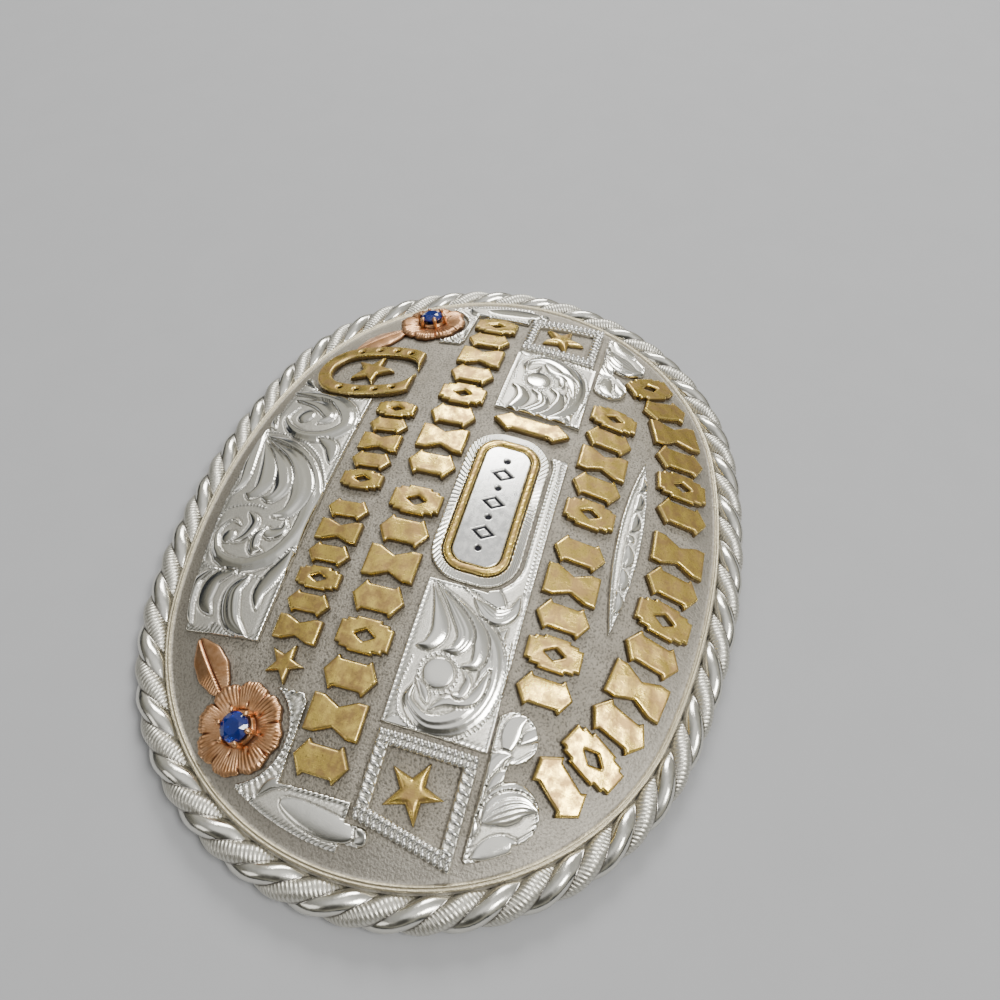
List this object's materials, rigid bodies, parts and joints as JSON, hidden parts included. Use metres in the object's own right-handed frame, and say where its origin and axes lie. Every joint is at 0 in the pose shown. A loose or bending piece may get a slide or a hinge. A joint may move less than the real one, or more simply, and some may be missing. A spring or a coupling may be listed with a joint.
{
  "type": "western trophy buckle",
  "caption": "Domed oval belt buckle with a twisted rope rim, raised brass ornaments, engraved silver scrolls, two copper flowers with blue stones, and a belt loop and hook behind.",
  "frame": {"origin": "middle of the box at its underside: the plane of the rope rim's lowest points, which the buckle lies on", "axes": "+X towards the hook end, to the right as the face is read; +Y towards the face's top; +Z out of the face"},
  "size_m": [0.0982, 0.0754, 0.0121],
  "materials": {
    "matt_silver": "German silver with a fine stippled matt ground",
    "rope_silver": "German silver, polished and cross-cut strands",
    "bright_silver": "bright-cut engraved German silver",
    "plaque_silver": "smooth silver with blackened marks",
    "brass": "brushed brass with dark edges",
    "copper": "warm copper, cut with fine flutes",
    "blue_stone": "deep blue faceted stone",
    "steel": "plain nickelled steel wire"
  },
  "bodies": {
    "root": {"base_plate": "matt_silver", "rope_edge": "rope_silver", "top_row": "brass", "middle_row": "brass", "lower_row": "brass", "small_row": "brass", "horseshoe": "brass", "silver_strip": "bright_silver", "upper_scroll_left": "bright_silver", "upper_scroll_right": "bright_silver", "centre_scroll_left": "bright_silver", "centre_scroll_right": "bright_silver", "side_scroll_left": "bright_silver", "side_scroll_right": "bright_silver", "bottom_scroll": "bright_silver", "end_frame_left": "bright_silver", "end_frame_right": "bright_silver", "end_star_left": "brass", "end_star_right": "brass", "plaque_border": "bright_silver", "plaque": "plaque_silver", "plaque_rim": "brass", "side_ornament": "brass", "flower_left": "copper", "flower_right": "copper", "stone_left": "blue_stone", "stone_right": "blue_stone", "belt_loop": "steel", "hook": "steel"}
  },
  "joints": []
}
